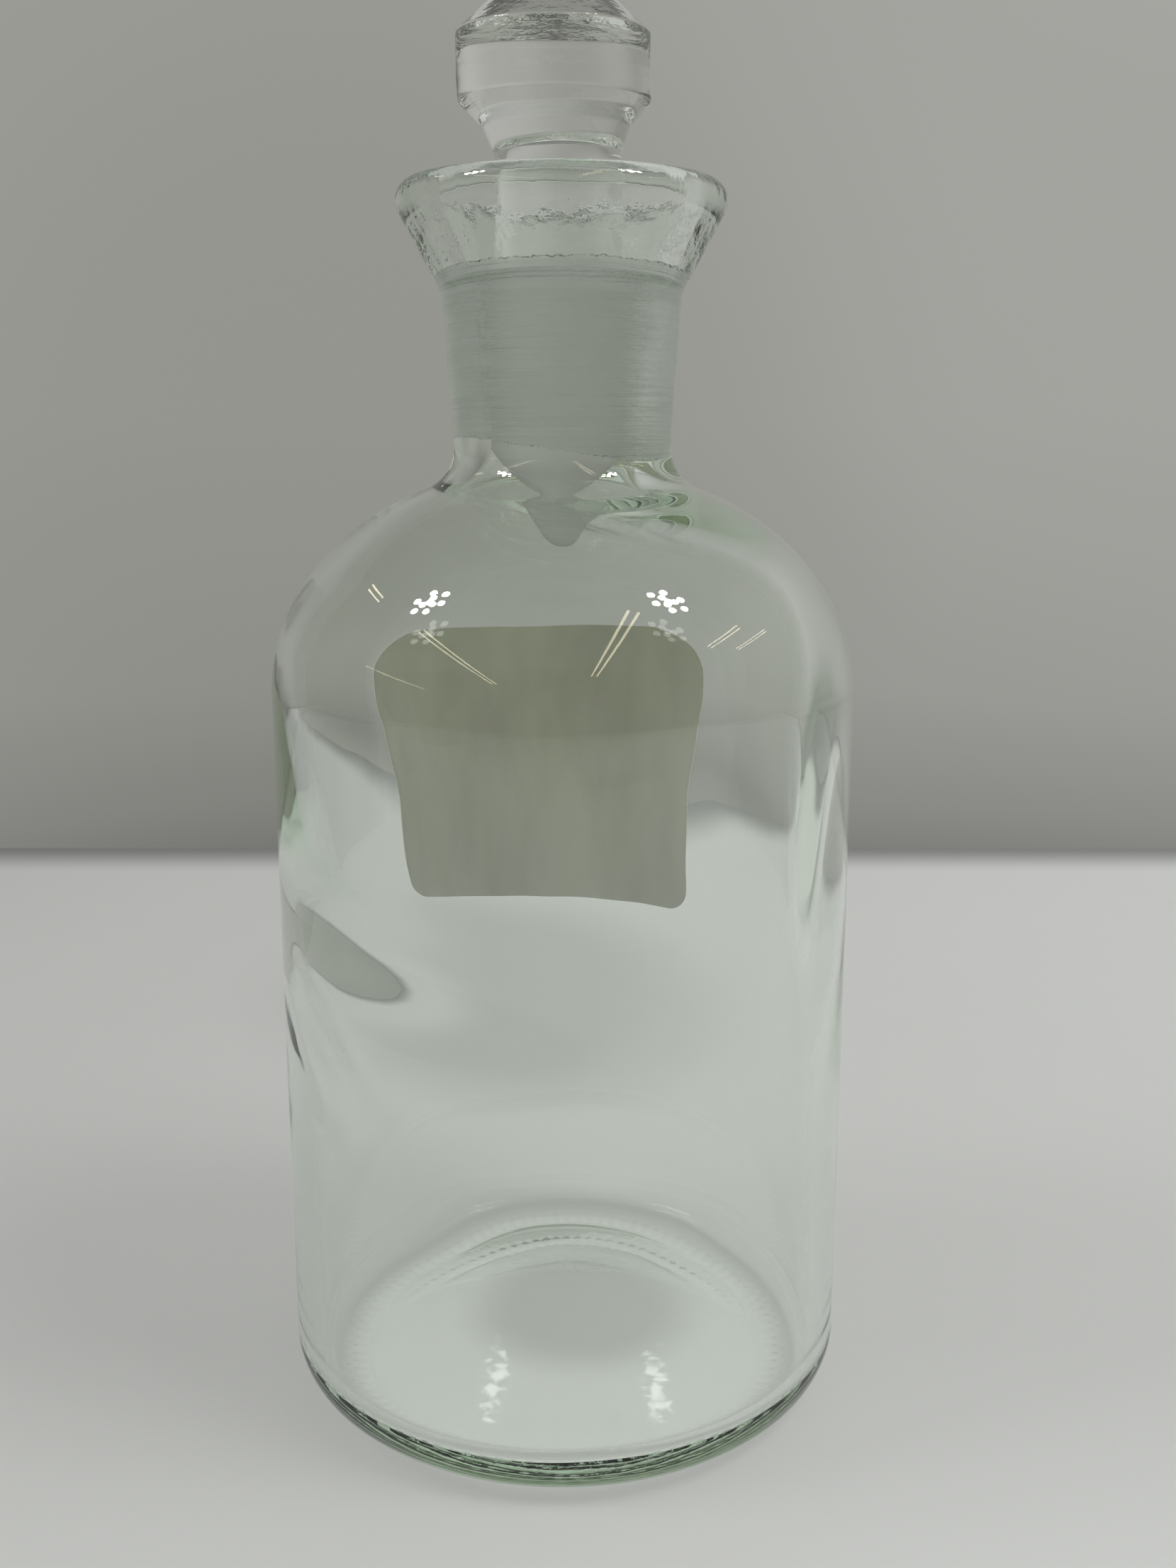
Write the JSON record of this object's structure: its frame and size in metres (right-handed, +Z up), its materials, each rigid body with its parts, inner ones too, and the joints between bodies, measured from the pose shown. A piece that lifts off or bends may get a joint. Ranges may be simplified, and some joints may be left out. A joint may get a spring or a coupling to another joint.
{
  "type": "reagent bottle",
  "caption": "Clear round glass reagent bottle with a domed shoulder, a flared funnel mouth, a frosted tapered neck joint and a solid lift-out glass stopper.",
  "frame": {"origin": "centre of the foot ring, on the surface that the bottle stands on", "axes": "+Z up along the bottle's axis, towards the mouth; -Y is the side opposite the marking panel"},
  "size_m": [0.069, 0.069, 0.164],
  "materials": {
    "bottle_glass": "polished, faintly green, frosted in the ground neck",
    "stopper_glass": "polished, frosted on the ground plug",
    "marking_enamel": "pale fired enamel, satin"
  },
  "bodies": {
    "bottle": {"bottle": "bottle_glass"},
    "stopper": {"stopper": "stopper_glass"}
  },
  "joints": [
    {"name": "stopper_lift", "type": "slide", "parent": "bottle", "child": "stopper", "axis": [0, 0, 1], "range_m": [0, 0.06]}
  ]
}
